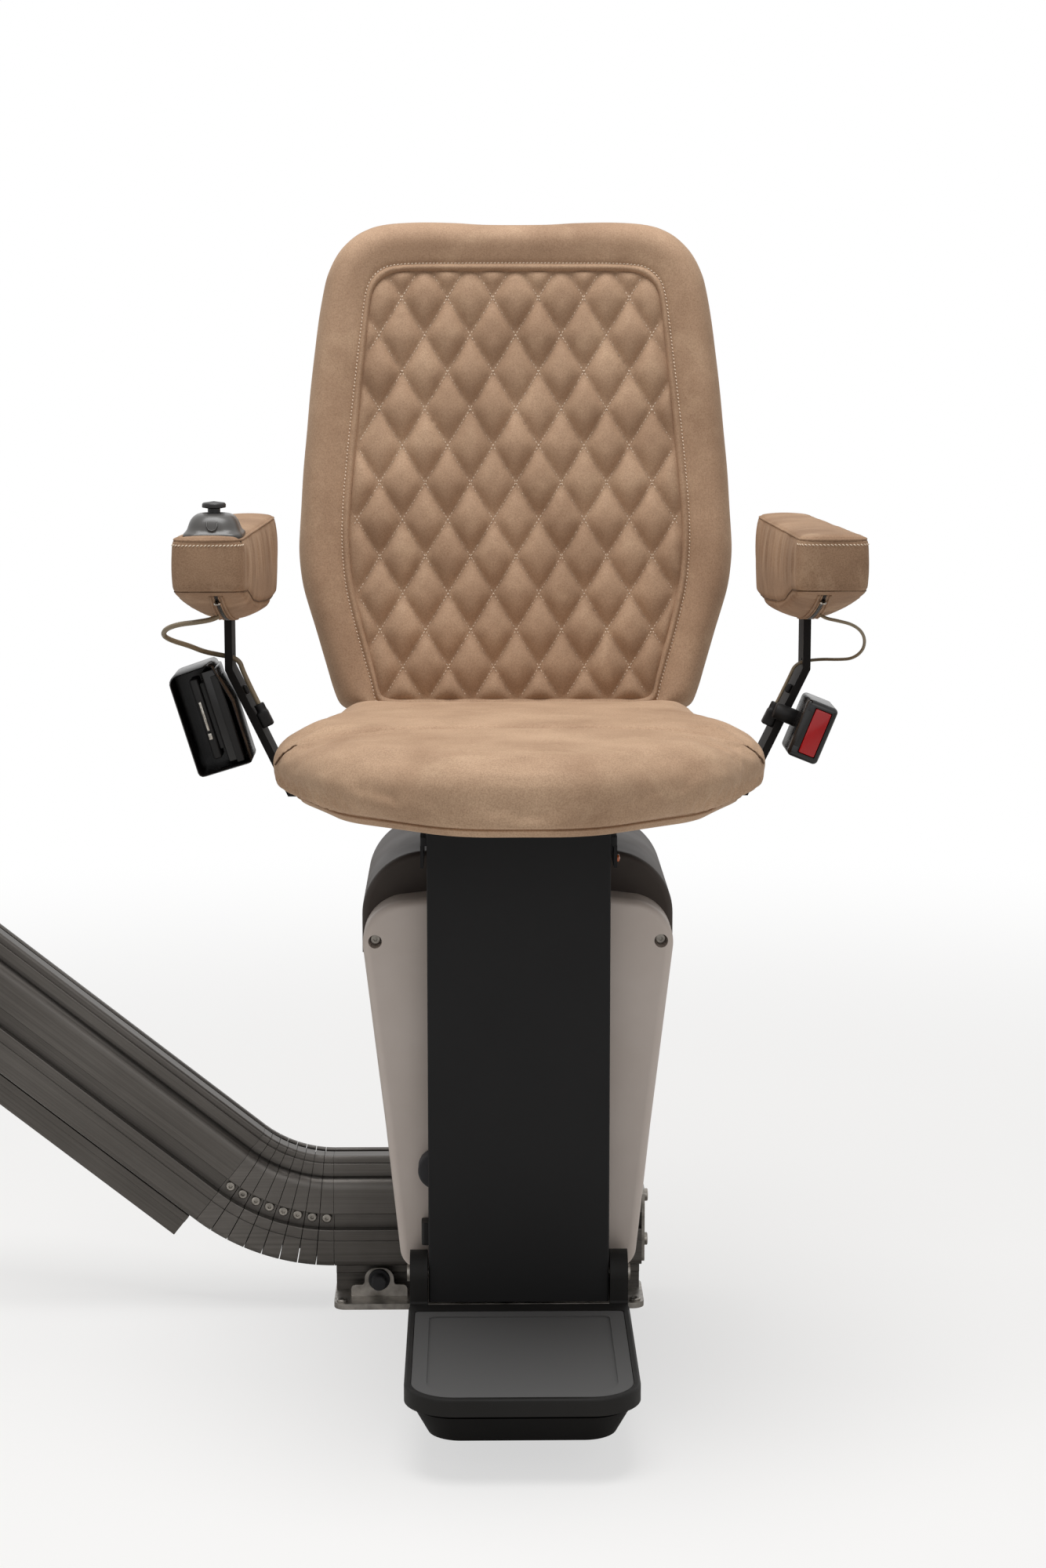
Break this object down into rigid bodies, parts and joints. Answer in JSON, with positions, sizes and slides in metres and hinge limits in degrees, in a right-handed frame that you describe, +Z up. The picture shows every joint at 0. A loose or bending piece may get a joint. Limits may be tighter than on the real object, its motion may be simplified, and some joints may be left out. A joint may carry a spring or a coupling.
{
  "type": "stairlift chair",
  "caption": "Padded swivel seat with folding arms, seat and footrest on a rail-mounted carriage, standing on the foot of its rack rail.",
  "frame": {"origin": "on the floor under the base plate, in the chair's plane of symmetry and the rail's middle plane", "axes": "+X to the viewer's right along the level rail, +Y to the back, +Z up; the chair faces -Y"},
  "size_m": [0.9679, 0.556, 1.096],
  "materials": {
    "rail_aluminium": "dark grey anodised extrusion",
    "zinc_steel": "zinc-plated steel",
    "rack_steel": "machined steel",
    "black_steel": "charcoal fine-texture powder coat",
    "black_plastic": "black moulded plastic",
    "roller_nylon": "cast nylon",
    "light_cover": "warm light grey moulded cover",
    "dark_plastic": "dark grey textured plastic",
    "mat_rubber": "ribless matt rubber mat",
    "buffer_rubber": "black rubber",
    "orange_lens": "orange lens",
    "grey_housing": "satin grey moulded housing",
    "red_plastic": "red gloss push button",
    "nubuck": "mottled tan nubuck over foam",
    "seat_ply": "dark stained plywood",
    "cable_sheath": "beige cable sheath",
    "belt_webbing": "black webbing"
  },
  "bodies": {
    "rail": {"base_plate": "zinc_steel", "anchor_screws": "zinc_steel", "foot_profile": "rail_aluminium", "rail_straight": "rail_aluminium", "bend_segments": "rail_aluminium", "rail_screws": "zinc_steel", "rail_incline": "rail_aluminium", "incline_profile": "rail_aluminium", "incline_end_cap": "black_plastic", "rail_end_plate": "zinc_steel", "stop_bracket": "zinc_steel", "stop_buffer": "buffer_rubber", "gear_rack": "rack_steel"},
    "carriage": {"carriage_frame": "black_steel", "roller_axles": "zinc_steel", "gear_motor": "black_plastic", "battery_packs": "black_plastic", "front_cover": "light_cover", "inner_shell": "light_cover", "rear_cover": "light_cover", "upper_housing": "light_cover", "cover_screws": "zinc_steel", "indicator_lens": "orange_lens", "panel_buffer": "buffer_rubber", "column": "black_steel", "head_bracket": "black_steel", "leg_panel": "black_steel", "fold_actuator": "black_plastic", "footrest_pins": "zinc_steel"},
    "roller_upper_left": {"upper_roller_left": "roller_nylon"},
    "roller_upper_right": {"upper_roller_right": "roller_nylon"},
    "roller_lower_left": {"lower_roller_left": "roller_nylon"},
    "roller_lower_right": {"lower_roller_right": "roller_nylon"},
    "pinion": {"drive_pinion": "rack_steel"},
    "footrest": {"footrest_tray": "dark_plastic", "footrest_mat": "mat_rubber"},
    "safety_edge": {"safety_pan": "dark_plastic"},
    "chair": {"swivel_plate": "rack_steel", "seat_frame": "black_steel", "arm_bar_left": "black_steel", "arm_bar_right": "black_steel", "hinge_pins": "zinc_steel", "backrest_shell": "black_plastic", "backrest_cushion": "nubuck", "backrest_quilt": "nubuck", "cable_fittings": "black_plastic", "arm_cable_left": "cable_sheath", "arm_cable_right": "cable_sheath", "belt_reel_cover": "black_plastic", "belt_reel_housing": "black_plastic", "belt_webbing": "belt_webbing", "belt_tongue": "black_plastic", "buckle_body": "black_plastic"},
    "folding_seat": {"seat_board": "seat_ply", "seat_cushion": "nubuck"},
    "arm_left": {"arm_pad_left": "nubuck", "joystick_housing": "grey_housing"},
    "arm_right": {"arm_pad_right": "nubuck"},
    "joystick": {"joystick_stick": "black_plastic"},
    "buckle_release": {"buckle_button": "red_plastic"}
  },
  "joints": [
    {"name": "carriage_travel", "type": "slide", "parent": "rail", "child": "carriage", "axis": [1, 0, 0], "range_m": [-0.05, 0]},
    {"name": "upper_roller_left_turn", "type": "hinge", "parent": "carriage", "child": "roller_upper_left", "pos_m": [-0.055, -0.012, 0.1735], "axis": [0, 1, 0], "range_deg": [-210, 0]},
    {"name": "upper_roller_right_turn", "type": "hinge", "parent": "carriage", "child": "roller_upper_right", "pos_m": [0.055, -0.012, 0.1735], "axis": [0, 1, 0], "range_deg": [-210, 0]},
    {"name": "lower_roller_left_turn", "type": "hinge", "parent": "carriage", "child": "roller_lower_left", "pos_m": [-0.045, -0.018, 0.0324], "axis": [0, 1, 0], "range_deg": [0, 225]},
    {"name": "lower_roller_right_turn", "type": "hinge", "parent": "carriage", "child": "roller_lower_right", "pos_m": [0.045, -0.018, 0.0324], "axis": [0, 1, 0], "range_deg": [0, 225]},
    {"name": "pinion_turn", "type": "hinge", "parent": "carriage", "child": "pinion", "pos_m": [0, 0.005, 0.166], "axis": [0, 1, 0], "range_deg": [-140, 0]},
    {"name": "footrest_fold", "type": "hinge", "parent": "carriage", "child": "footrest", "pos_m": [0, -0.229, 0.104], "axis": [-1, 0, 0], "range_deg": [0, 90]},
    {"name": "safety_edge_lift", "type": "slide", "parent": "footrest", "child": "safety_edge", "axis": [0, 0, 1], "range_m": [0, 0.004], "stiffness_N_per_m": 600},
    {"name": "chair_swivel", "type": "hinge", "parent": "carriage", "child": "chair", "pos_m": [0, -0.15, 0.536], "axis": [0, 0, 1], "range_deg": [0, 80]},
    {"name": "seat_fold", "type": "hinge", "parent": "chair", "child": "folding_seat", "pos_m": [0, -0.128, 0.592], "axis": [-1, 0, 0], "range_deg": [0, 80]},
    {"name": "arm_left_fold", "type": "hinge", "parent": "chair", "child": "arm_left", "pos_m": [-0.271, -0.18, 0.745], "axis": [-1, 0, 0], "range_deg": [0, 90]},
    {"name": "arm_right_fold", "type": "hinge", "parent": "chair", "child": "arm_right", "pos_m": [0.271, -0.18, 0.745], "axis": [-1, 0, 0], "range_deg": [0, 90]},
    {"name": "joystick_tilt", "type": "hinge", "parent": "arm_left", "child": "joystick", "pos_m": [-0.27, -0.345, 0.826], "axis": [0, 1, 0], "range_deg": [-12, 12], "stiffness_Nm_per_rad": 0.3},
    {"name": "buckle_press", "type": "slide", "parent": "chair", "child": "buckle_release", "axis": [0, 1, 0], "range_m": [0, 0.0025], "stiffness_N_per_m": 800}
  ],
  "couplings": [
    {"joint": "upper_roller_left_turn", "follows": "carriage_travel", "rad_per_m": 71},
    {"joint": "upper_roller_right_turn", "follows": "carriage_travel", "rad_per_m": 71},
    {"joint": "lower_roller_left_turn", "follows": "carriage_travel", "rad_per_m": -76.5},
    {"joint": "lower_roller_right_turn", "follows": "carriage_travel", "rad_per_m": -76.5},
    {"joint": "pinion_turn", "follows": "carriage_travel", "rad_per_m": 47.619}
  ]
}
